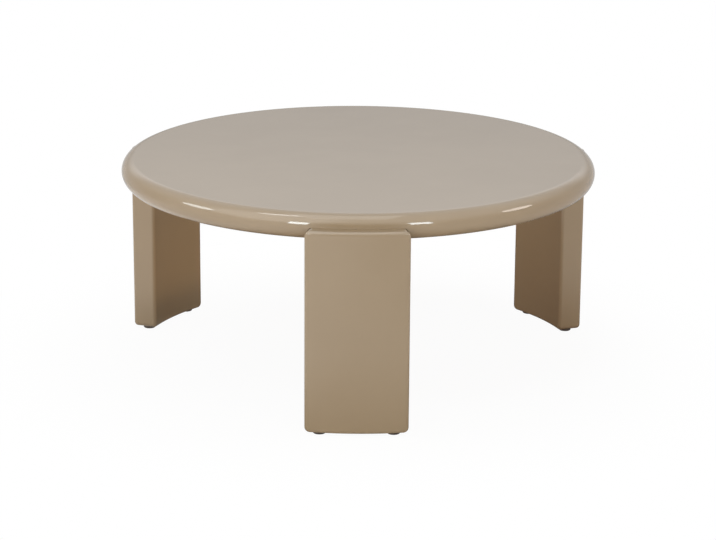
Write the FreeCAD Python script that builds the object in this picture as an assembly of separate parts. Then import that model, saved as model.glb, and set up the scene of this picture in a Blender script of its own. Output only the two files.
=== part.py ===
import FreeCAD, Part
import math
import os
from FreeCAD import Vector

# Round cocktail table: a thick top with a half-round edge, on three curved slab legs with levelling glides.
# Millimetres. The origin is on the table's axis at floor level, +Z is up and the front leg is towards -Y.

# Table
table_height = 406.0
leg_names = ("front", "back_right", "back_left")
side_names = ("left", "right")
overrun = 5.0  # how far a cutting shape runs past the face that it cuts

# Top: an upper disc and a lower ring, each shaped to a quarter round, which make the half-round edge together
top_diameter = 914.0
panel_thickness = 24.0
ring_thickness = 24.0
ring_width = 127.0
ring_inner_easing = 3.0

# Legs: curved slabs that stand proud of the edge and are housed in its lower half
leg_proud = 24.0
leg_thickness = 48.0
leg_width = 190.0  # straight across the outer face
leg_corner_radius = 10.0
leg_arris_radius = 6.5
housing_clearance = 0.5

# Dowels: from each leg's top up into the upper disc
dowel_diameter = 10.0
dowel_length = 30.0
dowel_rise = 13.0  # the part of the dowel above the leg
dowel_chamfer = 1.0
dowel_end_distance = 38.0  # in from the end of the leg's width
dowel_setback = 12.0  # from the table's edge to the dowel
dowel_fit = 0.05
dowel_end_clearance = 1.0

# Brackets: folded steel angles, let into a flat seat on the leg's inner face
bracket_width = 120.0
bracket_thickness = 4.0
bracket_drop = 62.0  # the flange down the leg
bracket_reach = 62.0  # the flange under the top
bracket_bend_radius = 4.0
bracket_corner_radius = 8.0
seat_depth = 1.0  # at the middle of the leg
seat_clearance = 1.0

# Bracket fasteners: hexagon bolts in threaded inserts, two in each flange
bolt_diameter = 8.0
bolt_length = 25.0
bolt_head_width = 13.0  # across the flats
bolt_head_height = 5.3
bolt_hole_clearance = 0.5
bolt_end_clearance = 1.5
bolt_edge_distance = 20.0  # in from the bracket's side
leg_bolt_drop = 38.0  # below the top
top_bolt_reach = 38.0  # in from the seat
washer_diameter = 16.0
washer_thickness = 1.6
insert_diameter = 12.0
insert_length = 20.0
insert_fit = 0.05
thread_fit = 0.05

# Levelling glides: a pad that swivels on the head of a stud, which screws into a tee nut in the leg
pad_diameter = 24.0
pad_height = 6.5
pad_lower_chamfer = 1.2
pad_upper_chamfer = 0.8
pad_floor = 2.0
key_hole_diameter = 9.0
glide_end_distance = 28.0  # in from the end of the leg's width
stud_diameter = 8.0
stud_length = 34.0  # above the pad
stud_chamfer = 1.0
stud_head_diameter = 14.0
stud_head_thickness = 1.6
stud_head_clearance = 0.3
stud_head_end_clearance = 0.15
stud_side_clearance = 0.5
stud_end_clearance = 2.0
key_width = 4.0  # across the flats
key_depth = 3.0
nut_flange_diameter = 22.0
nut_flange_thickness = 1.6
nut_barrel_diameter = 11.0
nut_length = 14.0
nut_fit = 0.05

# Levels and radii that follow from the sizes above
top_radius = top_diameter / 2
joint_level = table_height - panel_thickness
underside_level = joint_level - ring_thickness
ring_inner_radius = top_radius - ring_width
leg_outer_radius = top_radius + leg_proud
leg_inner_radius = leg_outer_radius - leg_thickness
leg_half_angle = math.asin(leg_width / 2 / leg_outer_radius)
leg_middle_radius = leg_inner_radius + leg_thickness / 2
dowel_offset = leg_width / 2 - dowel_end_distance
bolt_offset = bracket_width / 2 - bolt_edge_distance
glide_offset = leg_width / 2 - glide_end_distance
seat_distance = leg_inner_radius + seat_depth
leg_spacing = 360 / len(leg_names)
angle_tolerance = math.radians(1)
level_tolerance = pad_height / 1000
up = Vector(0, 0, 1)
down = Vector(0, 0, -1)
outward = Vector(0, -1, 0)


# Shared shapes, made on the front leg's side of the table
def arc_point(radius, angle, level):
    return Vector(radius * math.sin(angle), -radius * math.cos(angle), level)


def spot(offset, radius, level):
    return Vector(offset, -math.sqrt(radius**2 - offset**2), level)


def closed_face(*edges):
    return Part.Face(Part.Wire([edge.toShape() for edge in edges]))


def line(start, end):
    return Part.LineSegment(start, end)


def rounded_turn(centre, radius, start, end):
    middle = centre + ((start + end) / 2 - centre).normalize() * radius
    return Part.Arc(start, middle, end)


def ring_of_height(outer_diameter, inner_diameter, height, base):
    ring = Part.makeCylinder(outer_diameter / 2, height, base)
    return ring.cut(Part.makeCylinder(inner_diameter / 2, height, base))


def hexagon_bar(width, height, base):
    corner = width / 2 / math.cos(math.pi / 6)
    turns = [math.pi / 3 * step for step in range(7)]
    points = [base + Vector(corner * math.cos(turn), corner * math.sin(turn), 0) for turn in turns]
    return Part.Face(Part.makePolygon(points)).extrude(up * height)


def straight_level_edges(shape):
    edges = [edge for edge in shape.Edges if isinstance(edge.Curve, Part.Line)]
    return [edge for edge in edges if edge.Curve.Direction.isNormal(up, angle_tolerance)]


def level_circles(shape, level):
    circles = [edge for edge in shape.Edges if isinstance(edge.Curve, Part.Circle) and edge.Closed]
    return [edge for edge in circles if math.isclose(edge.Curve.Center.z, level, abs_tol=level_tolerance)]


def at_leg(shape, index):
    return shape.rotated(Vector(0, 0, 0), up, leg_spacing * index)


def at_site(shape, site):
    point, direction = site
    return shape.transformed(FreeCAD.Placement(point, FreeCAD.Rotation(up, direction)).toMatrix())


def around_table(shapes):
    return [at_leg(shape, index) for index in range(len(leg_names)) for shape in shapes]


# Places on one leg, where a site is a point on the wood and the direction into it
offsets = {"dowel": dowel_offset, "bolt": bolt_offset, "glide": glide_offset}
sides = {name: [-offset, offset] for name, offset in offsets.items()}
dowel_places = [spot(offset, top_radius - dowel_setback, joint_level) for offset in sides["dowel"]]
glide_places = [spot(offset, leg_middle_radius, 0) for offset in sides["glide"]]
leg_bolt_level = underside_level - leg_bolt_drop
leg_sites = [(Vector(offset, -seat_distance, leg_bolt_level), outward) for offset in sides["bolt"]]
top_bolt_distance = seat_distance - top_bolt_reach
top_sites = [(Vector(offset, -top_bolt_distance, underside_level), up) for offset in sides["bolt"]]


# Fasteners
def dowel(place):
    base = place + up * (dowel_rise - dowel_length)
    bar = Part.makeCylinder(dowel_diameter / 2, dowel_length, base)
    ends = level_circles(bar, base.z) + level_circles(bar, base.z + dowel_length)
    return bar.makeChamfer(dowel_chamfer, ends)


def dowel_hole(place):
    length = dowel_length + 2 * dowel_end_clearance
    base = place + up * (dowel_rise + dowel_end_clearance - length)
    return Part.makeCylinder(dowel_diameter / 2 + dowel_fit, length, base)


def insert(site):
    sleeve = ring_of_height(insert_diameter, bolt_diameter + 2 * thread_fit, insert_length, Vector(0, 0, 0))
    return at_site(sleeve, site)


def insert_hole(site):
    radius = insert_diameter / 2 + insert_fit
    length = overrun + insert_length + bolt_end_clearance
    return at_site(Part.makeCylinder(radius, length, down * overrun), site)


def washer(site):
    hole = bolt_diameter + 2 * bolt_hole_clearance
    base = down * (bracket_thickness + washer_thickness)
    return at_site(ring_of_height(washer_diameter, hole, washer_thickness, base), site)


def bolt(site):
    seat = down * (bracket_thickness + washer_thickness)
    head = hexagon_bar(bolt_head_width, bolt_head_height, seat + down * bolt_head_height)
    return at_site(head.fuse(Part.makeCylinder(bolt_diameter / 2, bolt_length, seat)), site)


def bolt_hole(site):
    radius = bolt_diameter / 2 + bolt_hole_clearance
    base = down * (bracket_thickness + overrun)
    return at_site(Part.makeCylinder(radius, bracket_thickness + 2 * overrun, base), site)


# Top: profiles in the plane of the axis, turned about it
def top_panel():
    axis_low = Vector(0, 0, joint_level)
    edge_low = Vector(top_radius, 0, joint_level)
    edge_high = Vector(top_radius - panel_thickness, 0, table_height)
    axis_high = Vector(0, 0, table_height)
    quarter = rounded_turn(Vector(edge_high.x, 0, joint_level), panel_thickness, edge_low, edge_high)
    profile = closed_face(
        line(axis_low, edge_low),
        quarter,
        line(edge_high, axis_high),
        line(axis_high, axis_low),
    )
    panel = profile.revolve(Vector(0, 0, 0), up, 360)
    return panel.cut(around_table([dowel_hole(place) for place in dowel_places]))


def build_up_ring():
    inner_high = Vector(ring_inner_radius, 0, joint_level)
    edge_high = Vector(top_radius, 0, joint_level)
    edge_low = Vector(top_radius - ring_thickness, 0, underside_level)
    ease_out = Vector(ring_inner_radius + ring_inner_easing, 0, underside_level)
    ease_in = Vector(ring_inner_radius, 0, underside_level + ring_inner_easing)
    ease_centre = Vector(ease_out.x, 0, ease_in.z)
    profile = closed_face(
        line(inner_high, edge_high),
        rounded_turn(Vector(edge_low.x, 0, joint_level), ring_thickness, edge_high, edge_low),
        line(edge_low, ease_out),
        rounded_turn(ease_centre, ring_inner_easing, ease_out, ease_in),
        line(ease_in, inner_high),
    )
    ring = profile.revolve(Vector(0, 0, 0), up, 360)
    cuts = [leg_housing()] + [insert_hole(site) for site in top_sites]
    return ring.cut(around_table(cuts))


# Legs
def slab(inner_radius, outer_radius, half_angle, low, high, corner_radius):
    ends = [-half_angle, half_angle]
    inner = [arc_point(inner_radius, angle, low) for angle in ends]
    outer = [arc_point(outer_radius, angle, low) for angle in ends]
    plan = closed_face(
        Part.Arc(outer[0], arc_point(outer_radius, 0, low), outer[1]),
        line(outer[1], inner[1]),
        Part.Arc(inner[1], arc_point(inner_radius, 0, low), inner[0]),
        line(inner[0], outer[0]),
    )
    block = plan.extrude(up * (high - low))
    return block.makeFillet(corner_radius, straight_level_edges(block))


def leg_housing():
    half_angle = leg_half_angle + housing_clearance / leg_inner_radius
    return slab(
        leg_inner_radius - housing_clearance,
        leg_outer_radius + overrun,
        half_angle,
        underside_level - leg_corner_radius - overrun,
        joint_level + housing_clearance,
        leg_corner_radius + housing_clearance,
    )


def bracket_seat():
    width = bracket_width + 2 * seat_clearance
    height = bracket_drop + seat_clearance
    depth = seat_distance - leg_inner_radius * math.cos(leg_half_angle) + overrun
    seat = Part.makeBox(width, depth, height, Vector(-width / 2, -seat_distance, underside_level - height))
    lower_edges = [edge for edge in seat.Edges if edge.BoundBox.ZMax < underside_level - height / 2]
    corner_edges = [edge for edge in lower_edges if edge.BoundBox.YLength > depth / 2]
    return seat.makeFillet(bracket_corner_radius, corner_edges)


def glide_hole(place):
    base = place + up * pad_height
    flange_radius = nut_flange_diameter / 2 + nut_fit
    flange = Part.makeCylinder(flange_radius, overrun + nut_flange_thickness, base + down * overrun)
    barrel = Part.makeCylinder(nut_barrel_diameter / 2 + nut_fit, nut_length, base)
    passage_radius = stud_diameter / 2 + stud_side_clearance
    passage = Part.makeCylinder(passage_radius, stud_length + stud_end_clearance, base)
    return flange.fuse([barrel, passage])


def leg():
    radii = (leg_inner_radius, leg_outer_radius)
    block = slab(*radii, leg_half_angle, pad_height, joint_level, leg_corner_radius)
    round_faces = [face for face in block.Faces if isinstance(face.Surface, Part.Cylinder)]
    broad_faces = [face for face in round_faces if face.Surface.Axis.isParallel(up, angle_tolerance)]
    arrises = [edge for face in broad_faces for edge in face.OuterWire.Edges]
    rounded = block.makeFillet(leg_arris_radius, arrises)
    holes = [dowel_hole(place) for place in dowel_places]
    holes += [insert_hole(site) for site in leg_sites]
    holes += [glide_hole(place) for place in glide_places]
    return rounded.cut([bracket_seat()] + holes)


# Brackets
def bracket():
    outer_bend = bracket_bend_radius + bracket_thickness
    back = -seat_distance
    centre = Vector(0, back + outer_bend, underside_level - outer_bend)
    foot_level = underside_level - bracket_drop
    tip = back + bracket_reach
    inner_back = back + bracket_thickness
    inner_top = underside_level - bracket_thickness
    bend_out_low = Vector(0, back, centre.z)
    bend_out_high = Vector(0, centre.y, underside_level)
    bend_in_high = Vector(0, centre.y, inner_top)
    bend_in_low = Vector(0, inner_back, centre.z)
    profile = closed_face(
        line(Vector(0, back, foot_level), bend_out_low),
        rounded_turn(centre, outer_bend, bend_out_low, bend_out_high),
        line(bend_out_high, Vector(0, tip, underside_level)),
        line(Vector(0, tip, underside_level), Vector(0, tip, inner_top)),
        line(Vector(0, tip, inner_top), bend_in_high),
        rounded_turn(centre, bracket_bend_radius, bend_in_high, bend_in_low),
        line(bend_in_low, Vector(0, inner_back, foot_level)),
        line(Vector(0, inner_back, foot_level), Vector(0, back, foot_level)),
    )
    profile.translate(Vector(-bracket_width / 2, 0, 0))
    angle = profile.extrude(Vector(bracket_width, 0, 0))
    tip_face = min(angle.Faces, key=lambda face: -face.CenterOfMass.y)
    foot_face = min(angle.Faces, key=lambda face: face.CenterOfMass.z)
    across = Vector(1, 0, 0)
    free_edges = tip_face.Edges + foot_face.Edges
    corners = [edge for edge in free_edges if edge.Curve.Direction.isNormal(across, angle_tolerance)]
    rounded = angle.makeFillet(bracket_corner_radius, corners)
    return rounded.cut([bolt_hole(site) for site in leg_sites + top_sites])


# Levelling glides
def glide_pad(place):
    disc = Part.makeCylinder(pad_diameter / 2, pad_height, place)
    disc = disc.makeChamfer(pad_lower_chamfer, level_circles(disc, 0))
    disc = disc.makeChamfer(pad_upper_chamfer, level_circles(disc, pad_height))
    pocket_radius = stud_head_diameter / 2 + stud_head_clearance
    pocket_height = stud_head_thickness + 2 * stud_head_end_clearance
    pocket = Part.makeCylinder(pocket_radius, pocket_height, place + up * pad_floor)
    key_hole = Part.makeCylinder(key_hole_diameter / 2, pad_floor + overrun, place + down * overrun)
    neck = Part.makeCylinder(stud_diameter / 2 + thread_fit, pad_height, place + up * pad_floor)
    return disc.cut([pocket.fuse([key_hole, neck])])


def glide_stud(place):
    head_level = pad_floor + stud_head_end_clearance
    head = Part.makeCylinder(stud_head_diameter / 2, stud_head_thickness, place + up * head_level)
    shank_length = pad_height + stud_length - head_level
    shank = Part.makeCylinder(stud_diameter / 2, shank_length, place + up * head_level)
    shank = shank.makeChamfer(stud_chamfer, level_circles(shank, pad_height + stud_length))
    return head.fuse(shank).removeSplitter().cut(hexagon_bar(key_width, key_depth, place + up * head_level))


def glide_nut(place):
    base = place + up * pad_height
    flange = Part.makeCylinder(nut_flange_diameter / 2, nut_flange_thickness, base)
    barrel = Part.makeCylinder(nut_barrel_diameter / 2, nut_length, base)
    thread = Part.makeCylinder(stud_diameter / 2 + thread_fit, nut_length, base)
    return flange.fuse(barrel).cut(thread)


# Nodes
nodes = {"top_panel": top_panel(), "build_up_ring": build_up_ring()}
for index, leg_name in enumerate(leg_names):
    nodes[leg_name + "_leg"] = at_leg(leg(), index)
    nodes[leg_name + "_bracket"] = at_leg(bracket(), index)
    for side_name, place in zip(side_names, glide_places):
        corner_name = leg_name + "_leg_" + side_name
        nodes[corner_name + "_pad"] = at_leg(glide_pad(place), index)
        nodes[corner_name + "_stud"] = at_leg(glide_stud(place), index)
sites = leg_sites + top_sites
groups = {
    "leg_dowels": [dowel(place) for place in dowel_places],
    "bracket_bolts": [bolt(site) for site in sites],
    "bracket_washers": [washer(site) for site in sites],
    "threaded_inserts": [insert(site) for site in sites],
    "glide_nuts": [glide_nut(place) for place in glide_places],
}
for name, shapes in groups.items():
    nodes[name] = Part.makeCompound(around_table(shapes))

os.makedirs("parts", exist_ok=True)
for name, shape in nodes.items():
    shape.exportStep("parts/" + name + ".step")
    print(name, shape.isValid(), len(shape.Solids), round(shape.Volume / 1000, 1), "cm3")
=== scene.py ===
import bmesh
import bpy
import math
from mathutils import Matrix, Vector


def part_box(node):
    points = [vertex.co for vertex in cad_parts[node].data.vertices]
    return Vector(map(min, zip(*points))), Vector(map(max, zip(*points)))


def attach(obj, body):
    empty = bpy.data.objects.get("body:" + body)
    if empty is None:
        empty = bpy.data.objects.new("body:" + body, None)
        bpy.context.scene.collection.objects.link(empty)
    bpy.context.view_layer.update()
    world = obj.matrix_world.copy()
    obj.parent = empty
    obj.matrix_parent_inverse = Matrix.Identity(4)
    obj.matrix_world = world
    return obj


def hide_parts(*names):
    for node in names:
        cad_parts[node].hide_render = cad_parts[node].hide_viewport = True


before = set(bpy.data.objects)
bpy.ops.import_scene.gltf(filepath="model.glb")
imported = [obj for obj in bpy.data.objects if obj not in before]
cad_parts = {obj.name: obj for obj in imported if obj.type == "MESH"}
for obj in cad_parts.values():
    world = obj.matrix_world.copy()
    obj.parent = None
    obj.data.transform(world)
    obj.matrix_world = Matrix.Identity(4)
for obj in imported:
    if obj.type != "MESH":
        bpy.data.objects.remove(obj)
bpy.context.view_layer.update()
scene = bpy.context.scene
mm = 0.001
upward = Vector((0, 0, 1))
inward = Vector((0, -1, 0))  # from the front bracket into its leg

# what the frame says about the table
tableBody = "table"
legNames = ("front", "back_right", "back_left")
sideNames = ("left", "right")
legSpacing = math.tau / len(legNames)
panelLow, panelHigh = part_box("top_panel")
bracketLow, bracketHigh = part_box("front_bracket")
padLow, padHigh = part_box("front_leg_left_pad")
studLow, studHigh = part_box("front_leg_left_stud")
topRadius = panelHigh.x
topLevel = panelHigh.z
jointLevel = panelLow.z  # where the upper disc lies on the ring and the legs
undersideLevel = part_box("build_up_ring")[0].z
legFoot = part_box("front_leg")[0].z
legOuterRadius = -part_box("front_leg")[0].y
seatDistance = -bracketLow.y  # the flat behind each bracket, from the table's axis
ringInnerRadius = min(math.hypot(v.co.x, v.co.y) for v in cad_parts["build_up_ring"].data.vertices)
print("frame loaded:", len(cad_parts), "nodes")


# shader graphs

class Value:
    # an output socket, whose sums and products add Math nodes
    def __init__(self, graph, socket):
        self.graph = graph
        self.socket = socket

    def math(self, operation, first, second):
        return self.graph.node("ShaderNodeMath", {"operation": operation}, {0: first, 1: second})

    def __add__(self, other):
        return self.math("ADD", self, other)

    def __radd__(self, other):
        return self.math("ADD", other, self)

    def __sub__(self, other):
        return self.math("SUBTRACT", self, other)

    def __rsub__(self, other):
        return self.math("SUBTRACT", other, self)

    def __mul__(self, other):
        return self.math("MULTIPLY", self, other)

    def __rmul__(self, other):
        return self.math("MULTIPLY", other, self)

    def __or__(self, other):
        return self.math("MAXIMUM", self, other)

    def __ror__(self, other):
        return self.math("MAXIMUM", other, self)


class Graph:
    # the nodes of a material or of the world
    def __init__(self, owner):
        owner.use_nodes = True
        self.owner = owner
        self.tree = owner.node_tree
        self.tree.nodes.clear()

    def node(self, kind, settings=None, sockets=None, output=0):
        # gives the output socket, or the material or world itself if the node is its last
        made = self.tree.nodes.new(kind)
        for name, setting in (settings or {}).items():
            setattr(made, name, setting)
        for name, given in (sockets or {}).items():
            if isinstance(given, Value):
                self.tree.links.new(given.socket, made.inputs[name])
            else:
                made.inputs[name].default_value = given
        return Value(self, made.outputs[output]) if made.outputs else self.owner

    def place(self):
        return self.node("ShaderNodeTexCoord", output="Object")

    def axis(self, vector, name):
        return self.node("ShaderNodeSeparateXYZ", None, {0: vector}, name)

    def vectors(self, operation, first, second, output=0):
        return self.node("ShaderNodeVectorMath", {"operation": operation}, {0: first, 1: second}, output)

    def distance(self, place, centre):
        return self.vectors("DISTANCE", place, centre, "Value")

    def noise(self, place, look):
        if "stretch" in look:
            place = self.vectors("MULTIPLY", place, look["stretch"])
        sockets = {"Vector": place, "Scale": look["scale"], "Detail": look["detail"]}
        sockets["Roughness"] = look["roughness"]
        return self.node("ShaderNodeTexNoise", None, sockets)

    def fade(self, value, low, high, start=0.0, end=1.0):
        sockets = {"Value": value, "From Min": low, "From Max": high, "To Min": start, "To Max": end}
        return self.node("ShaderNodeMapRange", {"interpolation_type": "SMOOTHSTEP"}, sockets)

    def patches(self, place, look):
        # 0 where the noise is below the look's range, 1 where it is above
        return self.fade(self.noise(place, look), *look["range"])

    def mixed(self, factor, first, second):
        # a Mix node's colours are its sockets 6 and 7 and its output 2
        return self.node("ShaderNodeMix", {"data_type": "RGBA"}, {0: factor, 6: first, 7: second}, 2)

    def bump(self, height, distance, normal=None):
        sockets = {"Height": height, "Distance": distance}
        if normal:
            sockets["Normal"] = normal
        return self.node("ShaderNodeBump", None, sockets)

    def relief(self, place, look, normal=None):
        return self.bump(self.noise(place, look), look["depth"], normal)

    def blend(self, factor, first, second):
        return self.node("ShaderNodeMixShader", None, {0: factor, 1: first, 2: second})

    def principled(self, sockets):
        return self.surface(self.node("ShaderNodeBsdfPrincipled", None, sockets))

    def surface(self, shader, kind="ShaderNodeOutputMaterial"):
        return self.node(kind, None, {"Surface": shader})


def newMaterial(name):
    return Graph(bpy.data.materials.new(name))


def linear(red, green, blue):
    # an 8-bit screen colour, as Blender's sockets take it
    def channel(level):
        share = level / 255
        return share / 12.92 if share <= 0.04045 else ((share + 0.055) / 1.055) ** 2.4

    return (channel(red), channel(green), channel(blue), 1.0)


# finishes

noiseMiddle = 0.5  # the level that a noise swings about

lacquerLook = {
    "pale": (156, 137, 111),
    "deep": (153, 134, 108),
    "mottle": {"scale": 6.0, "detail": 4.0, "roughness": 0.5, "range": (0.3, 0.7)},
    "nib": (118, 100, 78),
    "nibScale": 42.0,
    "nibChosen": (0.92, 0.96),  # of the cells' random values, so that few hold a nib
    "nibEdge": (0.07, 0.02),
    "nibStrength": 0.35,
    "nibDepth": 0.03 * mm,
    "ior": 1.6,
    "gloss": 0.045,  # roughness of a clean outer face
    "haze": {"scale": 9.0, "detail": 5.0, "roughness": 0.6, "range": (0.35, 0.75)},
    "hazeRoughness": 0.03,
    "hairlines": {
        "stretch": (30.0, 260.0, 260.0),
        "scale": 1.0,
        "detail": 3.0,
        "roughness": 0.6,
        "range": (0.62, 0.74),
    },
    "hairlineRoughness": 0.035,
    "undersideRange": (-0.85, -0.99),  # of the Z of a face's normal
    "undersideRoughness": 0.30,
    "scuffHeight": 30 * mm,
    "scuffs": {"scale": 70.0, "detail": 4.0, "roughness": 0.65, "range": (0.45, 0.7)},
    "scuffRoughness": 0.16,
    "wave": {"scale": 8.0, "detail": 1.0, "roughness": 0.5, "depth": 0.08 * mm},
    "peel": {"scale": 230.0, "detail": 1.0, "roughness": 0.5, "depth": 0.010 * mm},
}


def lacquer(name, look):
    graph = newMaterial(name)
    place = graph.place()
    mottle = graph.patches(place, look["mottle"])
    colour = graph.mixed(mottle, linear(*look["deep"]), linear(*look["pale"]))
    # dust nibs under the lacquer, in a few cells of a random pattern
    cells = {"Vector": place, "Scale": look["nibScale"]}
    nearness = graph.node("ShaderNodeTexVoronoi", None, cells, "Distance")
    cellColour = graph.node("ShaderNodeTexVoronoi", None, cells, "Color")
    chosen = graph.fade(graph.axis(cellColour, "X"), *look["nibChosen"])
    nibs = graph.fade(nearness, *look["nibEdge"]) * chosen
    colour = graph.mixed(nibs * look["nibStrength"], colour, linear(*look["nib"]))
    # wiping marks, rubbed feet and the flat coat underneath
    haze = graph.patches(place, look["haze"])
    hairlines = graph.patches(place, look["hairlines"])
    upness = graph.axis(graph.node("ShaderNodeNewGeometry", output="Normal"), "Z")
    underside = graph.fade(upness, *look["undersideRange"])
    low = graph.fade(graph.axis(place, "Z"), look["scuffHeight"], 0.0)
    scuffs = low * graph.patches(place, look["scuffs"])
    roughness = look["gloss"] + haze * look["hazeRoughness"] + hairlines * look["hairlineRoughness"]
    roughness = roughness + underside * look["undersideRoughness"] + scuffs * look["scuffRoughness"]
    # slow waves of the sanded board, orange peel of the sprayed coat, and the nibs
    normal = graph.relief(place, look["wave"])
    normal = graph.relief(place, look["peel"], normal)
    normal = graph.bump(nibs, look["nibDepth"], normal)
    return graph.principled(
        {"Base Color": colour, "Roughness": roughness, "IOR": look["ior"], "Normal": normal}
    )


zincLook = {
    "base": (190, 190, 186),
    "dull": (150, 150, 146),
    "bloom": {"scale": 260.0, "detail": 4.0, "roughness": 0.6, "range": (0.35, 0.7)},
    "grain": {"scale": 2600.0, "detail": 2.0, "roughness": 0.5},
    "grainDepth": 0.012 * mm,
    "roughness": 0.28,
    "bloomRoughness": 0.14,
    "grainRoughness": 0.1,
}


def zincPlate(name, look):
    graph = newMaterial(name)
    place = graph.place()
    bloom = graph.patches(place, look["bloom"])
    grain = graph.noise(place, look["grain"])
    roughness = look["roughness"] + bloom * look["bloomRoughness"]
    return graph.principled({
        "Base Color": graph.mixed(bloom, linear(*look["base"]), linear(*look["dull"])),
        "Metallic": 1.0,
        "Roughness": roughness + (grain - noiseMiddle) * look["grainRoughness"],
        "Normal": graph.bump(grain, look["grainDepth"]),
    })


powderLook = {
    "base": (28, 27, 26),
    "worn": (44, 42, 40),
    "pebbles": {"scale": 1300.0, "detail": 2.0, "roughness": 0.5},
    "pebbleDepth": 0.06 * mm,
    "dust": {"scale": 38.0, "detail": 5.0, "roughness": 0.65, "range": (0.45, 0.8)},
    "roughness": 0.52,
    "pebbleRoughness": 0.2,
    "dustRoughness": 0.1,
}


def powderCoat(name, look):
    graph = newMaterial(name)
    place = graph.place()
    pebbles = graph.noise(place, look["pebbles"])
    dust = graph.patches(place, look["dust"])
    roughness = look["roughness"] + (pebbles - noiseMiddle) * look["pebbleRoughness"]
    return graph.principled({
        "Base Color": graph.mixed(dust, linear(*look["base"]), linear(*look["worn"])),
        "Roughness": roughness + dust * look["dustRoughness"],
        "Normal": graph.bump(pebbles, look["pebbleDepth"]),
    })


brassLook = {
    "base": (205, 170, 96),
    "dull": (150, 116, 62),
    "tarnish": {"scale": 190.0, "detail": 4.0, "roughness": 0.6, "range": (0.4, 0.75)},
    "roughness": 0.26,
    "tarnishRoughness": 0.2,
    "grain": {"scale": 1800.0, "detail": 2.0, "roughness": 0.5, "depth": 0.01 * mm},
}


def bareBrass(name, look):
    graph = newMaterial(name)
    place = graph.place()
    tarnish = graph.patches(place, look["tarnish"])
    return graph.principled({
        "Base Color": graph.mixed(tarnish, linear(*look["base"]), linear(*look["dull"])),
        "Metallic": 1.0,
        "Roughness": look["roughness"] + tarnish * look["tarnishRoughness"],
        "Normal": graph.relief(place, look["grain"]),
    })


nylonLook = {
    "base": (84, 74, 66),
    "scuffed": (108, 98, 89),
    "scuffs": {
        "stretch": (1.0, 1.0, 3.0),
        "scale": 420.0,
        "detail": 4.0,
        "roughness": 0.6,
        "range": (0.45, 0.8),
    },
    "roughness": 0.48,
    "scuffRoughness": 0.15,
    "grain": {"scale": 2200.0, "detail": 1.0, "roughness": 0.5, "depth": 0.02 * mm},
}


def mouldedNylon(name, look):
    graph = newMaterial(name)
    place = graph.place()
    scuffs = graph.patches(place, look["scuffs"])
    return graph.principled({
        "Base Color": graph.mixed(scuffs, linear(*look["base"]), linear(*look["scuffed"])),
        "Roughness": look["roughness"] + scuffs * look["scuffRoughness"],
        "Normal": graph.relief(place, look["grain"]),
    })


beechLook = {
    "pale": (214, 178, 136),
    "dark": (176, 134, 92),
    "grain": {"stretch": (900.0, 900.0, 45.0), "scale": 1.0, "detail": 4.0, "roughness": 0.6},
    "grainDepth": 0.05 * mm,
    "rayRange": (0.35, 0.7),  # of the grain
    "roughness": 0.62,
    "rayRoughness": 0.12,
}


def bareBeech(name, look):
    graph = newMaterial(name)
    grain = graph.noise(graph.place(), look["grain"])
    rays = graph.fade(grain, *look["rayRange"])
    return graph.principled({
        "Base Color": graph.mixed(rays, linear(*look["pale"]), linear(*look["dark"])),
        "Roughness": look["roughness"] + rays * look["rayRoughness"],
        "Normal": graph.bump(grain, look["grainDepth"]),
    })


finishes = {
    "top_lacquer": lacquer("top lacquer", lacquerLook),
    "leg_lacquer": lacquer("leg lacquer", lacquerLook),
    "dowel_wood": bareBeech("bare beech", beechLook),
    "bracket_steel": powderCoat("black powder coat", powderLook),
    "fastener_steel": zincPlate("bright zinc plate", zincLook),
    "insert_brass": bareBrass("bare brass", brassLook),
    "glide_plastic": mouldedNylon("brown nylon", nylonLook),
}
print("finishes made:", ", ".join(sorted(finishes)))


# mesh tools

def arcPoints(centre, radius, start, end, steps):
    turns = [math.radians(start + (end - start) * step / steps) for step in range(steps + 1)]
    return [(centre[0] + radius * math.cos(turn), centre[1] + radius * math.sin(turn)) for turn in turns]


def eased(outline, radius, steps=3, mostOfSide=1 / 3):
    # rounds the corners of a closed outline, by the radius or by that share of a short side
    rounded = []
    for index, point in enumerate(outline):
        corner = Vector(point)
        before = Vector(outline[index - 1]) - corner
        after = Vector(outline[(index + 1) % len(outline)]) - corner
        start = corner + before.normalized() * min(radius, before.length * mostOfSide)
        end = corner + after.normalized() * min(radius, after.length * mostOfSide)
        for step in range(steps + 1):
            share = step / steps
            rounded.append(start.lerp(corner, share).lerp(corner.lerp(end, share), share))
    return rounded


def ringOf(sides, radiusAndLevel):
    # points round the Z axis, where the radius and the level may change with the turn
    ring = []
    for side in range(sides):
        turn = math.tau * side / sides
        radius, level = radiusAndLevel(turn)
        ring.append(Vector((radius * math.cos(turn), radius * math.sin(turn), level)))
    return ring


def turned(profile, sides):
    # rings of a profile of (radius, level) points, where a radius of zero is a tip
    return [ringOf(sides if radius else 1, lambda turn: (radius, level)) for radius, level in profile]


def skinned(mesh, rings, closed=False):
    rows = [[mesh.verts.new(point) for point in ring] for ring in rings]
    pairs = list(zip(rows, rows[1:]))
    if closed:
        pairs.append((rows[-1], rows[0]))
    for first, second in pairs:
        count = max(len(first), len(second))
        for step in range(count):
            after = (step + 1) % count
            corners = [first[step % len(first)], second[step % len(second)]]
            corners += [second[after % len(second)], first[after % len(first)]]
            mesh.faces.new(list(dict.fromkeys(corners)))
    return rows


def copies(rings, places, closed=False):
    mesh = bmesh.new()
    for place in places:
        skinned(mesh, [[place @ point for point in ring] for ring in rings], closed)
    return loose(mesh)


def loose(mesh):
    # an object that holds the mesh until it is a piece, or a cutting shape
    bmesh.ops.recalc_face_normals(mesh, faces=mesh.faces)
    data = bpy.data.meshes.new("shape")
    mesh.to_mesh(data)
    mesh.free()
    made = bpy.data.objects.new("shape", data)
    scene.collection.objects.link(made)
    return made


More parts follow.
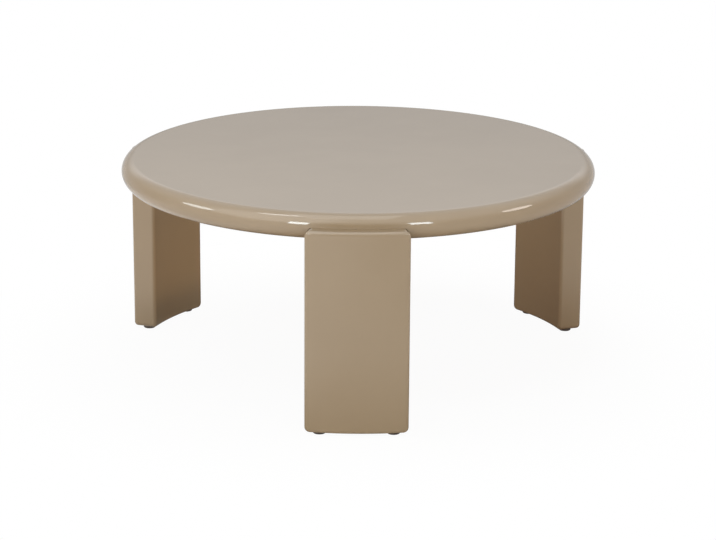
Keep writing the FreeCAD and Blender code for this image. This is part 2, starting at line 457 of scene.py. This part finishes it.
def carved(shape, cutters):
    for cutter in cutters:
        cut = shape.modifiers.new("cut", "BOOLEAN")
        cut.operation = "DIFFERENCE"
        cut.solver = "EXACT"
        cut.object = cutter
    graph = bpy.context.evaluated_depsgraph_get()
    cutMesh = bpy.data.meshes.new_from_object(shape.evaluated_get(graph))
    shape.modifiers.clear()
    shape.data = cutMesh
    for cutter in cutters:
        bpy.data.objects.remove(cutter)
    return shape


def rods(radius, low, high, places, sides=40):
    # a cutting shape at each place
    rings = turned([(0, low), (radius, low), (radius, high), (0, high)], sides)
    return [copies(rings, [place]) for place in places]


def atSite(point, direction):
    # puts a shape that is made along +Z on a point of the wood, pointing into it
    return Matrix.Translation(point) @ upward.rotation_difference(direction).to_matrix().to_4x4()


def atLeg(index):
    return Matrix.Rotation(legSpacing * index, 4, "Z")


def aroundTable(places):
    return [atLeg(index) @ place for index in range(len(legNames)) for place in places]


def pieceName(node):
    first, *others = node.split("_")
    return first + "".join(word.title() for word in others)


crispAngle = math.radians(32)  # edges that turn further than this are drawn crisp


def asPiece(shape, node, slot, body=tableBody):
    shape.name = pieceName(node)
    shape.data.name = shape.name
    shape.data.materials.clear()
    shape.data.materials.append(finishes[slot])
    shape.data.shade_smooth()
    shape.data.set_sharp_from_angle(angle=crispAngle)
    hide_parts(node)
    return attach(shape, body)


def turnedCopy(shape, index):
    # the same shape at another leg
    copy = bpy.data.objects.new("shape", shape.data.copy())
    scene.collection.objects.link(copy)
    copy.data.transform(atLeg(index))
    return copy


# places on one leg, as seen from the front leg

fixing = {
    "dowelRadius": 5 * mm,
    "dowelFit": 0.05 * mm,
    "dowelRise": 13 * mm,
    "dowelLength": 30 * mm,
    "dowelOffset": 57 * mm,
    "dowelSetback": 12 * mm,
    "dowelSpare": 1 * mm,
    "boltOffset": 40 * mm,
    "boltDrop": 38 * mm,
    "boltReach": 38 * mm,
    "insertRadius": 6 * mm,
    "insertLength": 20 * mm,
    "insertFit": 0.05 * mm,
    "insertSpare": 1.5 * mm,
    "overrun": 5 * mm,  # how far a cutting shape runs past the face that it cuts
}


def bothSides(offset):
    return [-offset, offset]


def dowelPlace(offset):
    circle = topRadius - fixing["dowelSetback"]
    return Matrix.Translation((offset, -math.sqrt(circle**2 - offset**2), jointLevel))


dowelPlaces = [dowelPlace(offset) for offset in bothSides(fixing["dowelOffset"])]
legBoltLevel = undersideLevel - fixing["boltDrop"]
topBoltDistance = seatDistance - fixing["boltReach"]
boltOffsets = bothSides(fixing["boltOffset"])
legSites = [atSite(Vector((offset, -seatDistance, legBoltLevel)), inward) for offset in boltOffsets]
topSites = [atSite(Vector((offset, -topBoltDistance, undersideLevel)), upward) for offset in boltOffsets]
allSites = aroundTable(legSites + topSites)
glidePlaces = []
for sideName in sideNames:
    low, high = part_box("front_leg_" + sideName + "_pad")
    glidePlaces.append(Matrix.Translation(((low.x + high.x) / 2, (low.y + high.y) / 2, 0)))


def dowelHoles(places):
    high = fixing["dowelRise"] + fixing["dowelSpare"]
    low = fixing["dowelRise"] - fixing["dowelLength"] - fixing["dowelSpare"]
    return rods(fixing["dowelRadius"] + fixing["dowelFit"], low, high, places)


def insertHoles(places):
    depth = fixing["insertLength"] + fixing["insertSpare"]
    return rods(fixing["insertRadius"] + fixing["insertFit"], -fixing["overrun"], depth, places)


# top

topShape = {
    "segments": 322,  # no line of these falls on the middle of a leg
    "roundSteps": 28,
    "supportWidth": 1.5 * mm,  # a strip of each flat beside a rounding, which keeps the flat's shading even
    "easing": 3 * mm,
    "easingSteps": 6,
    "innerRingShares": (0.25, 0.5, 0.75),  # rings that part the flat faces
}


def flatRings(radius, level):
    return [(radius * share, level) for share in topShape["innerRingShares"]]


def topPanel():
    look = topShape
    depth = topLevel - jointLevel
    flatRadius = topRadius - depth
    profile = [(0, topLevel)] + flatRings(flatRadius, topLevel)
    profile += [(flatRadius - look["supportWidth"], topLevel)]
    profile += arcPoints((flatRadius, jointLevel), depth, 90, 0, look["roundSteps"])
    profile += [(topRadius - look["supportWidth"], jointLevel)]
    profile += flatRings(flatRadius, jointLevel)[::-1] + [(0, jointLevel)]
    disc = copies(turned(profile, look["segments"]), [Matrix.Identity(4)])
    return carved(disc, dowelHoles(aroundTable(dowelPlaces)))


# legs

legShape = {
    "width": 190 * mm,  # straight across the outer face
    "thickness": 48 * mm,
    "corner": 10 * mm,
    "cornerSteps": 10,
    "arris": 6.5 * mm,
    "arrisSteps": 9,
    "archSteps": 36,
    "supportWidth": 1 * mm,
    "housingGap": 0.5 * mm,
    "seatGap": 1 * mm,
    "seatCorner": 8 * mm,
    "seatCornerSteps": 8,
}
legInnerRadius = legOuterRadius - legShape["thickness"]
legHalfAngle = math.asin(legShape["width"] / 2 / legOuterRadius)


def slabChain(radius, inset, corner, halfAngle, level, rise):
    # the upper half of an outline, or with a rise of -1 the lower, from the leg's right end to its left
    turn = corner - inset
    centre = level - rise * corner
    steps = legShape["cornerSteps"]
    angles = [math.pi / 2 * step / steps for step in range(steps + 1)]
    drawn = [(corner - turn * math.cos(a), centre + rise * turn * math.sin(a)) for a in angles]
    right = [(halfAngle - math.asin(drawIn / radius), height) for drawIn, height in drawn]
    lastAngle, lastHeight = right[-1]
    count = legShape["archSteps"]
    middle = [(lastAngle * (1 - 2 * step / count), lastHeight) for step in range(1, count)]
    left = [(-angle, height) for angle, height in reversed(right)]
    chain = right + middle + left
    return [Vector((radius * math.sin(a), -radius * math.cos(a), height)) for a, height in chain]


def slab(outlines, corner, halfAngle, low, high):
    # a curved block through outlines of (radius, inset), from its outer face to its inner one
    rings = []
    for radius, inset in outlines:
        upper = slabChain(radius, inset, corner, halfAngle, high, 1)
        lower = slabChain(radius, inset, corner, halfAngle, low, -1)
        rings.append(upper + lower[::-1])
    mesh = bmesh.new()
    rows = skinned(mesh, rings)
    for row in (rows[0], rows[-1]):
        for step in range(len(row) // 2 - 1):
            mesh.faces.new([row[step], row[step + 1], row[-2 - step], row[-1 - step]])
    return mesh


def legHousing(place):
    # the opening in the ring that a leg stands in
    gap = legShape["housingGap"]
    over = fixing["overrun"]
    outlines = [(legOuterRadius + over, 0), (legInnerRadius - gap, 0)]
    low = undersideLevel - legShape["corner"] - 2 * over
    halfAngle = legHalfAngle + gap / legInnerRadius
    mesh = slab(outlines, legShape["corner"] + gap, halfAngle, low, jointLevel + gap)
    mesh.transform(place)
    return loose(mesh)


def bracketSeat():
    # the flat recess for a bracket, cut into the inner face of a leg
    look = legShape
    half = bracketHigh.x + look["seatGap"]
    low, high = bracketLow.z - look["seatGap"], undersideLevel
    corner, steps = look["seatCorner"], look["seatCornerSteps"]
    outline = [(half, high), (-half, high)]
    outline += arcPoints((corner - half, low + corner), corner, 180, 270, steps)
    outline += arcPoints((half - corner, low + corner), corner, 270, 360, steps)
    depths = (seatDistance, legInnerRadius * math.cos(legHalfAngle) - fixing["overrun"])
    mesh = bmesh.new()
    rows = skinned(mesh, [[Vector((x, -depth, z)) for x, z in outline] for depth in depths])
    for row in rows:
        mesh.faces.new(row)
    return loose(mesh)


nutShape = {
    "flangeRadius": 11 * mm,
    "flangeThickness": 1.6 * mm,
    "barrelRadius": 5.5 * mm,
    "length": 14 * mm,
    "boreRadius": 4.05 * mm,
    "easing": 0.3 * mm,
    "fit": 0.05 * mm,
    "passageRadius": 4.5 * mm,
    "passageSpare": 2 * mm,
    "sides": 60,
}


def glideHoles(places):
    # stepped holes for the nuts and studs of the glides
    look = nutShape
    flange, barrel = look["flangeRadius"] + look["fit"], look["barrelRadius"] + look["fit"]
    mouth = legFoot - fixing["overrun"]
    shelf, neck = legFoot + look["flangeThickness"], legFoot + look["length"]
    end = studHigh.z + look["passageSpare"]
    profile = [(0, mouth), (flange, mouth), (flange, shelf), (barrel, shelf), (barrel, neck)]
    profile += [(look["passageRadius"], neck), (look["passageRadius"], end), (0, end)]
    return [copies(turned(profile, look["sides"]), [place]) for place in places]


def frontLeg():
    look = legShape
    arris, support = look["arris"], look["supportWidth"]
    angles = [math.pi / 2 * step / look["arrisSteps"] for step in range(look["arrisSteps"] + 1)]
    bend = [(arris - arris * math.sin(a), arris - arris * math.cos(a)) for a in angles]
    outlines = [(legOuterRadius, arris + support)]
    outlines += [(legOuterRadius - sink, inset) for sink, inset in reversed(bend)]
    outlines += [(legOuterRadius - arris - support, 0), (legInnerRadius + arris + support, 0)]
    outlines += [(legInnerRadius + sink, inset) for sink, inset in bend]
    outlines += [(legInnerRadius, arris + support)]
    block = loose(slab(outlines, look["corner"], legHalfAngle, legFoot, jointLevel))
    carved(block, [bracketSeat()])
    return carved(block, dowelHoles(dowelPlaces) + insertHoles(legSites) + glideHoles(glidePlaces))


def buildUpRing():
    look = topShape
    depth = jointLevel - undersideLevel
    roundRadius = topRadius - depth
    easing, support = look["easing"], look["supportWidth"]
    profile = [(ringInnerRadius, jointLevel), (topRadius - support, jointLevel)]
    profile += arcPoints((roundRadius, jointLevel), depth, 0, -90, look["roundSteps"])
    profile += [(roundRadius - support, undersideLevel)]
    profile += [(ringInnerRadius + easing + support, undersideLevel)]
    easeCentre = (ringInnerRadius + easing, undersideLevel + easing)
    profile += arcPoints(easeCentre, easing, 270, 180, look["easingSteps"])
    ring = copies(turned(profile, look["segments"]), [Matrix.Identity(4)], closed=True)
    carved(ring, [legHousing(atLeg(index)) for index in range(len(legNames))])
    return carved(ring, insertHoles(aroundTable(topSites)))


asPiece(topPanel(), "top_panel", "top_lacquer")
asPiece(buildUpRing(), "build_up_ring", "top_lacquer")
firstLeg = frontLeg()
for index, legName in enumerate(legNames):
    asPiece(turnedCopy(firstLeg, index), legName + "_leg", "leg_lacquer")
bpy.data.objects.remove(firstLeg)
print("top and legs shaped")


# brackets

bracketShape = {
    "thickness": 4 * mm,
    "bend": 4 * mm,  # inside the fold
    "bendSteps": 10,
    "corner": 8 * mm,
    "cornerSteps": 8,
    "easing": 0.5 * mm,
    "holeRadius": 4.5 * mm,
}


def bracketSections():
    # cross sections of the folded plate, from its foot on the leg to its tip under the top
    look = bracketShape
    corner, middle = look["corner"], look["thickness"] / 2
    fold = look["bend"] + middle
    centre = Vector((0, bracketLow.y + fold + middle, bracketHigh.z - fold - middle))
    ends = []
    for step in range(look["cornerSteps"] + 1):
        turn = math.pi / 2 * step / look["cornerSteps"]
        ends.append((corner * (1 - math.cos(turn)), corner * (1 - math.sin(turn))))
    stations = [
        (Vector((0, centre.y - fold, bracketLow.z + along)), inward, along, trim) for along, trim in ends
    ]
    for step in range(look["bendSteps"] + 1):
        turn = math.pi - math.pi / 2 * step / look["bendSteps"]
        normal = Vector((0, math.cos(turn), math.sin(turn)))
        stations.append((centre + normal * fold, normal, corner, 0))
    stations += [
        (Vector((0, bracketHigh.y - along, centre.z + fold)), upward, along, trim)
        for along, trim in reversed(ends)
    ]
    return [plateSection(*station) for station in stations]


def plateSection(place, normal, along, trim):
    easing = bracketShape["easing"]
    half = bracketHigh.x - trim
    thick = bracketShape["thickness"] / 2 - max(0, easing - along)
    corners = [(half, thick - easing), (half - easing, thick)]
    corners += [(easing - half, thick), (-half, thick - easing)]
    corners += [(-across, -outward) for across, outward in corners]
    return [place + Vector((across, 0, 0)) + normal * outward for across, outward in corners]


def frontBracket():
    mesh = bmesh.new()
    rows = skinned(mesh, bracketSections())
    for row in (rows[0], rows[-1]):
        mesh.faces.new(row)
    over = fixing["overrun"] + bracketShape["thickness"]
    return carved(loose(mesh), rods(bracketShape["holeRadius"], -over, over, legSites + topSites))


firstBracket = frontBracket()
for index, legName in enumerate(legNames):
    asPiece(turnedCopy(firstBracket, index), legName + "_bracket", "bracket_steel")
bpy.data.objects.remove(firstBracket)
print("brackets folded")


# fasteners, made along +Z, where 0 is the face of the wood, or the floor for the nuts of the glides

# a thread's section is a wave, steepened by the slope, sunk by the drop and cut flat at root and crest
threadShape = {"sides": 24, "stepsPerTurn": 6, "slope": 2.2, "drop": 0.6}


def threadRings(crest, root, pitch, low, high):
    # a right-hand thread that runs out to its root at both ends
    look = threadShape
    count = round((high - low) / pitch * look["stepsPerTurn"])
    rings = []
    for step in range(count + 1):
        level = low + (high - low) * step / count
        runOut = min(1, (level - low) / pitch, (high - level) / pitch)

        def flank(turn):
            phase = (level / pitch - turn / math.tau) % 1
            ridge = min(1, max(0, look["slope"] * abs(2 * phase - 1) - look["drop"]))
            return root + (crest - root) * ridge * runOut, level

        rings.append(ringOf(look["sides"], flank))
    return rings


def hexRadius(width, turn):
    # from the middle of a hexagon to its edge, where the width is across its flats
    return width / 2 / math.cos(turn % (math.pi / 3) - math.pi / 6)


washerShape = {
    "radius": 8 * mm,
    "holeRadius": 4.5 * mm,
    "thickness": 1.6 * mm,
    "easing": 0.3 * mm,
    "sides": 60,
}
plateTop = -bracketShape["thickness"]
boltSeat = plateTop - washerShape["thickness"]


def washerRings():
    look = washerShape
    corners = [(look["holeRadius"], boltSeat), (look["radius"], boltSeat)]
    corners += [(radius, plateTop) for radius, level in reversed(corners)]
    return turned(eased(corners, look["easing"]), look["sides"])


boltShape = {
    "radius": 4 * mm,
    "root": 3.4 * mm,
    "pitch": 1.25 * mm,
    "length": 25 * mm,
    "headWidth": 13 * mm,  # across the flats
    "headHeight": 5.3 * mm,
    "crownShare": 0.95,  # of the head's width, left flat on top
    "crownSlope": math.tan(math.radians(30)),
    "neck": 1 * mm,
    "tip": 0.7 * mm,
}


def boltRings():
    look = boltShape
    sides = threadShape["sides"]
    radius, root = look["radius"], look["root"]
    crown = boltSeat - look["headHeight"]
    crownRadius = look["headWidth"] / 2 * look["crownShare"]
    threadStart, end = boltSeat + look["neck"], boltSeat + look["length"]

    def crownEdge(turn):
        edge = hexRadius(look["headWidth"], turn)
        return edge, crown + (edge - crownRadius) * look["crownSlope"]

    def seatEdge(turn):
        return hexRadius(look["headWidth"], turn), boltSeat

    rings = turned([(0, crown), (crownRadius, crown)], sides)
    rings += [ringOf(sides, crownEdge), ringOf(sides, seatEdge)]
    rings += turned([(radius, boltSeat), (radius, threadStart)], sides)
    rings += threadRings(radius, root, look["pitch"], threadStart, end - look["tip"])
    return rings + turned([(root - look["tip"], end), (0, end)], sides)


insertShape = {"root": 5.35 * mm, "pitch": 2.5 * mm, "boreRadius": 4.05 * mm}


def insertRings():
    look = insertShape
    length = fixing["insertLength"]
    rings = threadRings(fixing["insertRadius"], look["root"], look["pitch"], 0, length)
    return rings + turned([(look["boreRadius"], length), (look["boreRadius"], 0)], threadShape["sides"])


dowelShape = {"sides": 80, "flutes": 20, "fluteDepth": 0.35 * mm, "chamfer": 1 * mm}


def dowelRings():
    look = dowelShape
    low = fixing["dowelRise"] - fixing["dowelLength"]
    high = fixing["dowelRise"]
    chamfer, radius = look["chamfer"], fixing["dowelRadius"]

    def fluted(level):
        def groove(turn):
            return radius - look["fluteDepth"] * (0.5 - 0.5 * math.cos(look["flutes"] * turn)), level

        return ringOf(look["sides"], groove)

    rings = turned([(0, low), (radius - chamfer, low)], look["sides"])
    rings += [fluted(low + chamfer), fluted(high - chamfer)]
    return rings + turned([(radius - chamfer, high), (0, high)], look["sides"])


def nutRings():
    look = nutShape
    bore, barrel, flange = look["boreRadius"], look["barrelRadius"], look["flangeRadius"]
    shelf, end = legFoot + look["flangeThickness"], legFoot + look["length"]
    corners = [(bore, legFoot), (flange, legFoot), (flange, shelf)]
    corners += [(barrel, shelf), (barrel, end), (bore, end)]
    return turned(eased(corners, look["easing"]), look["sides"])


allGlides = aroundTable(glidePlaces)
bolts = copies(boltRings(), allSites)
washers = copies(washerRings(), allSites, closed=True)
inserts = copies(insertRings(), allSites, closed=True)
dowels = copies(dowelRings(), aroundTable(dowelPlaces))
nuts = copies(nutRings(), allGlides, closed=True)
asPiece(bolts, "bracket_bolts", "fastener_steel")
asPiece(washers, "bracket_washers", "fastener_steel")
asPiece(inserts, "threaded_inserts", "insert_brass")
asPiece(dowels, "leg_dowels", "dowel_wood")
asPiece(nuts, "glide_nuts", "fastener_steel")
print("fasteners made:", len(allSites), "bolts")


# levelling glides

padShape = {
    "radius": 12 * mm,
    "footChamfer": 1.2 * mm,
    "topChamfer": 0.8 * mm,
    "keyHoleRadius": 4.5 * mm,
    "floor": 2 * mm,  # under the stud's head
    "pocketRadius": 7.3 * mm,
    "pocketHeight": 1.9 * mm,
    "neckRadius": 4.05 * mm,
    "easing": 0.4 * mm,
    "sides": 72,
}


def padRings():
    look = padShape
    low, high = padLow.z, padHigh.z
    radius, neck = look["radius"], look["neckRadius"]
    keyHole, pocket = look["keyHoleRadius"], look["pocketRadius"]
    floor = low + look["floor"]
    ceiling = floor + look["pocketHeight"]
    corners = [(keyHole, low), (radius - look["footChamfer"], low), (radius, low + look["footChamfer"])]
    corners += [(radius, high - look["topChamfer"]), (radius - look["topChamfer"], high), (neck, high)]
    corners += [(neck, ceiling), (pocket, ceiling), (pocket, floor), (keyHole, floor)]
    return turned(eased(corners, look["easing"]), look["sides"])


studShape = {
    "headRadius": 7 * mm,
    "headThickness": 1.6 * mm,
    "headEasing": 0.3 * mm,
    "keyWidth": 4 * mm,  # across the flats
    "keyDepth": 3 * mm,
    "keyTaper": 0.4 * mm,
    "chamfer": 1 * mm,
}


def studRings():
    look = studShape
    sides = threadShape["sides"]
    low, high = studLow.z, studHigh.z
    easing, radius = look["headEasing"], look["headRadius"]
    headTop = low + look["headThickness"]
    keyEnd = low + look["keyDepth"]

    def socket(level):
        return ringOf(sides, lambda turn: (hexRadius(look["keyWidth"], turn), level))

    rings = turned([(0, keyEnd + look["keyTaper"])], sides) + [socket(keyEnd), socket(low)]
    rings += turned([(radius - easing, low), (radius, low + easing), (radius, headTop - easing)], sides)
    rings += turned([(radius - easing, headTop), (boltShape["radius"], headTop)], sides)
    rings += turned([(boltShape["radius"], padHigh.z)], sides)
    thread = (boltShape["radius"], boltShape["root"], boltShape["pitch"])
    rings += threadRings(*thread, padHigh.z, high - look["chamfer"])
    return rings + turned([(boltShape["radius"] - look["chamfer"], high), (0, high)], sides)


# each pad and each stud is a body of its own, named as its node is
for index, legName in enumerate(legNames):
    for sideName, place in zip(sideNames, glidePlaces):
        where = [atLeg(index) @ place]
        pad = "_".join((legName, "leg", sideName, "pad"))
        stud = "_".join((legName, "leg", sideName, "stud"))
        asPiece(copies(padRings(), where, closed=True), pad, "glide_plastic", pad)
        asPiece(copies(studRings(), where), stud, "fastener_steel", stud)
print("glides made:", len(allGlides))


# studio

paperWhite = (1.0, 1.0, 1.0, 1.0)

cameraLook = {
    "lens": 123.82,
    "sensor": 36.0,
    "distance": 4834.8 * mm,
    "aim": (0.85 * mm, 0, 173.6 * mm),
    "elevation": 16.376,  # degrees
    "roll": 0.379,
}


def makeCamera():
    look = cameraLook
    rise = math.radians(look["elevation"])
    lean = math.radians(look["roll"])
    back = Vector((0, -math.cos(rise), math.sin(rise)))
    level = Vector((1, 0, 0))
    plumb = back.cross(level)
    right = level * math.cos(lean) + plumb * math.sin(lean)
    top = plumb * math.cos(lean) - level * math.sin(lean)
    camera = bpy.data.objects.new("camera", bpy.data.cameras.new("camera"))
    camera.data.lens = look["lens"]
    camera.data.sensor_width = look["sensor"]
    turn = Matrix((right, top, back)).transposed().to_4x4()
    camera.matrix_world = Matrix.Translation(Vector(look["aim"]) + back * look["distance"]) @ turn
    scene.collection.objects.link(camera)
    scene.camera = camera


def raysSeen(graph, *kinds):
    # 1 for the rays of these kinds
    seen = 0
    for kind in kinds:
        seen = seen | graph.node("ShaderNodeLightPath", output=kind)
    return seen


floorLook = {
    "radius": 14.0,
    "segments": 96,
    "under": (0.42, 0.185, 0.05, 1.0),  # painted shade: the floor's colour, darker under the table and warmed as by light bounced off the lacquer above it
    "open": (0.87, 0.83, 0.80, 1.0),
    "openCentre": (0.115, 0.10, 0.0),
    "openRange": (0.28, 0.46),
    "shadow": 0.04,  # share of the real shading that the picture keeps near the table
    "shadowRange": (0.40, 0.85),
    "shadeCentre": (0.06, 0.42, 0.0),  # the lamps stand in front, so the mirrored shade lies further back
    "shadeStretch": (1.0, 0.47, 1.0),
    "shadeRange": (0.385, 0.73),
    "mirroredShade": 0.05,
    "leftPaper": 1.08,
    "rightPaper": 0.62,
    "sideRange": (-0.5, 0.5),
    "farPaper": 0.65,
    "farRange": (0.0, 1.4),
}


def makeFloor():
    look = floorLook
    graph = newMaterial("pale floor")
    place = graph.place()
    origin = (0, 0, 0)

    def paper(strength):
        return graph.node("ShaderNodeEmission", None, {"Color": paperWhite, "Strength": strength})

    # what the picture shows, white with a share of the real shading
    # painted shade on the floor: its colour turns dark and warm towards the middle of the table
    outOfPaintedShade = graph.fade(graph.distance(place, look["openCentre"]), *look["openRange"])
    colour = graph.mixed(outOfPaintedShade, look["under"], look["open"])
    matt = graph.node("ShaderNodeBsdfDiffuse", None, {"Color": colour})
    shadow = graph.fade(graph.distance(place, origin), *look["shadowRange"], look["shadow"], 0.0)
    direct = raysSeen(graph, "Is Camera Ray", "Is Transmission Ray")
    shown = graph.blend(direct * (1 - shadow), matt, paper(1.0))
    # what the lacquer mirrors: painted light, paper that glows brighter on the left, round a painted shadow
    # of the table
    fromShade = graph.vectors("SUBTRACT", place, look["shadeCentre"])
    fromShade = graph.vectors("MULTIPLY", fromShade, look["shadeStretch"])
    clearing = graph.fade(graph.distance(fromShade, origin), *look["shadeRange"])
    across, back = (graph.axis(place, name) for name in "XY")
    rightness = graph.fade(across, *look["sideRange"])
    litPaper = graph.blend(rightness, paper(look["leftPaper"]), paper(look["rightPaper"]))
    litPaper = graph.blend(graph.fade(back, *look["farRange"]), litPaper, paper(look["farPaper"]))
    mirrored = graph.blend(clearing, paper(look["mirroredShade"]), litPaper)
    above = graph.blend(raysSeen(graph, "Is Glossy Ray"), shown, mirrored)
    below = graph.node("ShaderNodeNewGeometry", output="Backfacing")
    shader = graph.blend(below * direct, above, graph.node("ShaderNodeBsdfTransparent"))
    mesh = bmesh.new()
    bmesh.ops.create_circle(mesh, cap_ends=True, radius=look["radius"], segments=look["segments"])
    floor = loose(mesh)
    floor.name = "floor"
    if floor.data.polygons[0].normal.z < 0:
        floor.data.flip_normals()
    floor.data.materials.append(graph.surface(shader))


# the room as the lacquer mirrors it, where white paper is 1, and the light that it gives
worldLook = {
    "behindCamera": 0.0,
    "leftWall": 1.05,
    "leftRange": (-0.15, -0.45),
    "rightWall": 0.60,
    "rightRange": (0.15, 0.45),
    "backWall": 0.62,
    "backRange": (-0.05, 0.45),
    "ceiling": 1.38,
    "ceilingRange": (0.25, 0.80),
    "backdrop": 1.40,
    "backdropDepthRange": (0.70, 0.95),
    "backdropHeightRange": (0.15, 0.37),
    "glow": 2.35,
    "glowSide": (-0.56, -0.43, 0.71),  # towards the soft key light at the left front
    "glowRange": (0.82, 0.95),
    "leftFill": 5.35,
    "leftFillColour": (1.0, 0.92, 0.85, 1.0),
    "rightFill": 3.8,
    "rightFillColour": (1.0, 0.95, 0.91, 1.0),
    "fillRange": (-0.5, 0.7),
    "horizonRange": (0.02, 0.20),  # how far from the horizon the fill fades, above and below
    "sky": 0.09,
    "zenith": 0.85,
    "zenithRange": (0.60, 0.95),
}


def makeWorld():
    look = worldLook
    scene.world = bpy.data.worlds.new("studio")
    graph = Graph(scene.world)

    def light(strength, colour=paperWhite):
        return graph.node("ShaderNodeBackground", None, {"Color": colour, "Strength": strength})

    direction = graph.node("ShaderNodeTexCoord", output="Generated")
    across, back, height = (graph.axis(direction, name) for name in "XYZ")
    # what the lacquer mirrors
    mirrored = light(look["behindCamera"])
    mirrored = graph.blend(graph.fade(across, *look["leftRange"]), mirrored, light(look["leftWall"]))
    mirrored = graph.blend(graph.fade(across, *look["rightRange"]), mirrored, light(look["rightWall"]))
    mirrored = graph.blend(graph.fade(back, *look["backRange"]), mirrored, light(look["backWall"]))
    mirrored = graph.blend(graph.fade(height, *look["ceilingRange"]), mirrored, light(look["ceiling"]))
    depth = graph.fade(back, *look["backdropDepthRange"])
    backdrop = depth * graph.fade(height, *look["backdropHeightRange"])
    mirrored = graph.blend(backdrop, mirrored, light(look["backdrop"]))
    nearGlow = graph.vectors("DOT_PRODUCT", direction, look["glowSide"], "Value")
    mirrored = graph.blend(graph.fade(nearGlow, *look["glowRange"]), mirrored, light(look["glow"]))
    # the light on everything else
    leftFill = light(look["leftFill"], look["leftFillColour"])
    rightFill = light(look["rightFill"], look["rightFillColour"])
    horizon = graph.blend(graph.fade(across, *look["fillRange"]), leftFill, rightFill)
    sky = graph.blend(graph.fade(height, *look["zenithRange"]), light(look["sky"]), light(look["zenith"]))
    near, far = look["horizonRange"]
    offHorizon = graph.fade(height, near, far) | graph.fade(height, -near, -far)
    fill = graph.blend(offHorizon, horizon, sky)
    lit = graph.blend(raysSeen(graph, "Is Glossy Ray"), fill, mirrored)
    shader = graph.blend(raysSeen(graph, "Is Camera Ray", "Is Transmission Ray"), lit, light(1.0))
    graph.surface(shader, "ShaderNodeOutputWorld")


daylight = (0.85, 0.95, 1.0)
white = (1.0, 1.0, 1.0)

# radiance is what a mirror would show of the lamp, where white paper is 1
lamps = {
    "overhead": {
        "shape": "RECTANGLE",
        "size": (0.95, 1.25),
        "place": (-0.10, -0.45, 2.2),
        "aim": (-0.10, -0.45, 0),
        "colour": white,
        "radiance": 1.2,
    },
    "overheadStrip": {
        "shape": "RECTANGLE",
        "size": (0.88, 0.32),
        "place": (-0.65, -0.50, 2.2),
        "aim": (-0.65, -0.50, 0),
        "colour": white,
        "radiance": 5.2,
    },
    "frontLeft": {
        "shape": "RECTANGLE",
        "size": (0.52, 0.84),
        "place": (-1.48, -2.98, 1.46),
        "aim": (-0.12, -0.44, 0.39),
        "colour": daylight,
        "radiance": 12.5,
    },
    "frontRight": {
        "shape": "RECTANGLE",
        "size": (0.58, 0.84),
        "place": (1.55, -2.88, 1.60),
        "aim": (0.13, -0.44, 0.39),
        "colour": daylight,
        "radiance": 10.5,
    },
    "sideLeft": {
        "shape": "ELLIPSE",
        "size": (0.92, 0.66),
        "place": (-2.58, -0.43, 1.61),
        "aim": (-0.29, -0.35, 0.39),
        "colour": (0.88, 0.94, 0.94),
        "radiance": 6.2,
    },
    "sideRight": {
        "shape": "ELLIPSE",
        "size": (0.90, 0.72),
        "place": (2.64, -0.44, 1.66),
        "aim": (0.29, -0.35, 0.39),
        "colour": (1.0, 0.91, 0.85),
        "radiance": 5.5,
    },
    "floorBounce": {
        "shape": "ELLIPSE",
        "size": (0.70, 0.56),
        "place": (-0.10, 0.02, 0.01),
        "aim": (0, 0, 1),
        "colour": (1.0, 0.75, 0.47),
        "radiance": 0.76,
        "mirrored": False,
    },
}


def makeLamp(name, look):
    width, height = look["size"]
    area = width * height if look["shape"] == "RECTANGLE" else width * height * math.pi / 4
    lamp = bpy.data.objects.new(name, bpy.data.lights.new(name, "AREA"))
    lamp.data.shape = look["shape"]
    lamp.data.size, lamp.data.size_y = look["size"]
    lamp.data.color = look["colour"]
    lamp.data.energy = look["radiance"] * math.pi * area
    lamp.location = look["place"]
    lamp.rotation_euler = (Vector(look["place"]) - Vector(look["aim"])).to_track_quat("Z", "Y").to_euler()
    lamp.visible_camera = False
    lamp.visible_glossy = look.get("mirrored", True)
    scene.collection.objects.link(lamp)


scene.view_settings.view_transform = "Standard"
makeCamera()
makeFloor()
makeWorld()
for lampName, lampLook in lamps.items():
    makeLamp(lampName, lampLook)
print("studio set:", ", ".join(lamps))
